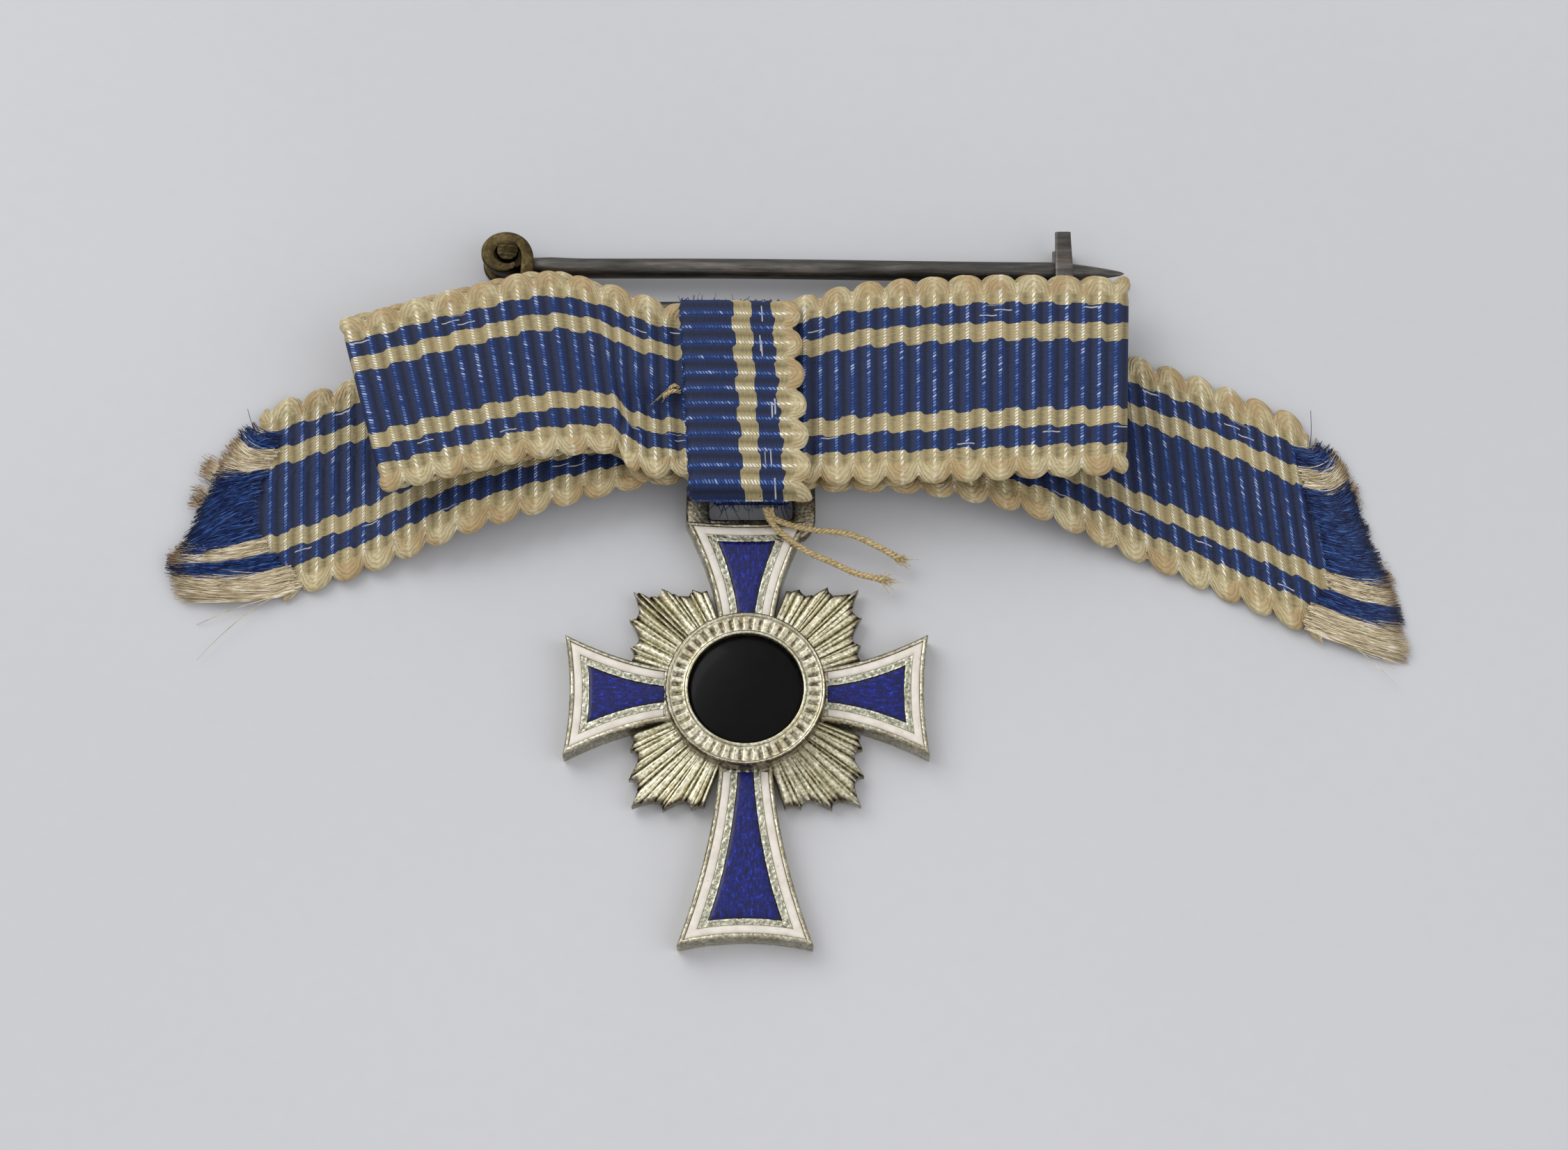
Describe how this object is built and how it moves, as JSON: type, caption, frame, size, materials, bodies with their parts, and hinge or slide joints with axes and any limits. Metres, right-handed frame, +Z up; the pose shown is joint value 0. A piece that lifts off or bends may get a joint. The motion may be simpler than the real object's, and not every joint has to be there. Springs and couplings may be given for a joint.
{
  "type": "award ribbon",
  "caption": "Small enamelled cross on a frame, hanging from a striped ribbon bow with fringed tails and a hinged brooch pin.",
  "frame": {"origin": "middle of the outline, on the surface the object lies on", "axes": "+X right, +Y from the cross towards the brooch pin, +Z up out of the front of the ribbon"},
  "size_m": [0.0574, 0.0348, 0.0039],
  "materials": {
    "striped_ribbon": "ribbed weave, royal blue with four cream stripes and scalloped cream edges, silky",
    "sewing_thread": "twisted straw-coloured thread",
    "silvered_metal": "silvered, granular, dark tarnish in the hollows and along the edges",
    "white_enamel": "opaque warm white enamel, glossy",
    "blue_enamel": "translucent blue enamel over engraved metal, glossy",
    "dark_enamel": "plain black enamel, glossy",
    "aged_brass": "browned, worn brighter on the edges",
    "oxidised_steel": "dark oxide with coppery wear"
  },
  "bodies": {
    "bow": {"knot_band": "striped_ribbon", "bow_loop_left": "striped_ribbon", "bow_loop_right": "striped_ribbon", "tail_left": "striped_ribbon", "tail_right": "striped_ribbon", "fringe_left": "striped_ribbon", "fringe_right": "striped_ribbon", "hanger_ribbon": "striped_ribbon", "knot_stitch": "sewing_thread", "thread_end_upper": "sewing_thread", "thread_end_lower": "sewing_thread", "bar_lashing": "sewing_thread"},
    "brooch": {"brooch_bar": "oxidised_steel", "hinge_lug": "aged_brass", "hinge_rivet": "aged_brass", "catch_clip": "oxidised_steel"},
    "pin": {"pin_stem": "oxidised_steel"},
    "cross": {"cross_body": "silvered_metal", "medallion_ring": "silvered_metal", "medallion_disc": "dark_enamel", "medallion_rivet": "silvered_metal", "enamel_white_top": "white_enamel", "enamel_white_left": "white_enamel", "enamel_white_bottom": "white_enamel", "enamel_white_right": "white_enamel", "enamel_blue_top": "blue_enamel", "enamel_blue_left": "blue_enamel", "enamel_blue_bottom": "blue_enamel", "enamel_blue_right": "blue_enamel"}
  },
  "joints": [
    {"name": "cross_swing", "type": "hinge", "parent": "bow", "child": "cross", "pos_m": [-0.00148, 0.00424, 0.00063], "axis": [-1, 0, 0], "range_deg": [-40, 40], "deforming": ["thread_end_upper", "thread_end_lower"]},
    {"name": "bar_turn", "type": "hinge", "parent": "bow", "child": "brooch", "pos_m": [0.00028, 0.01354, 0.00075], "axis": [1, 0, 0], "range_deg": [-90, 0]},
    {"name": "pin_swing", "type": "hinge", "parent": "brooch", "child": "pin", "pos_m": [-0.01302, 0.0162, 0.00092], "axis": [0, 0, 1], "range_deg": [0, 90]}
  ]
}
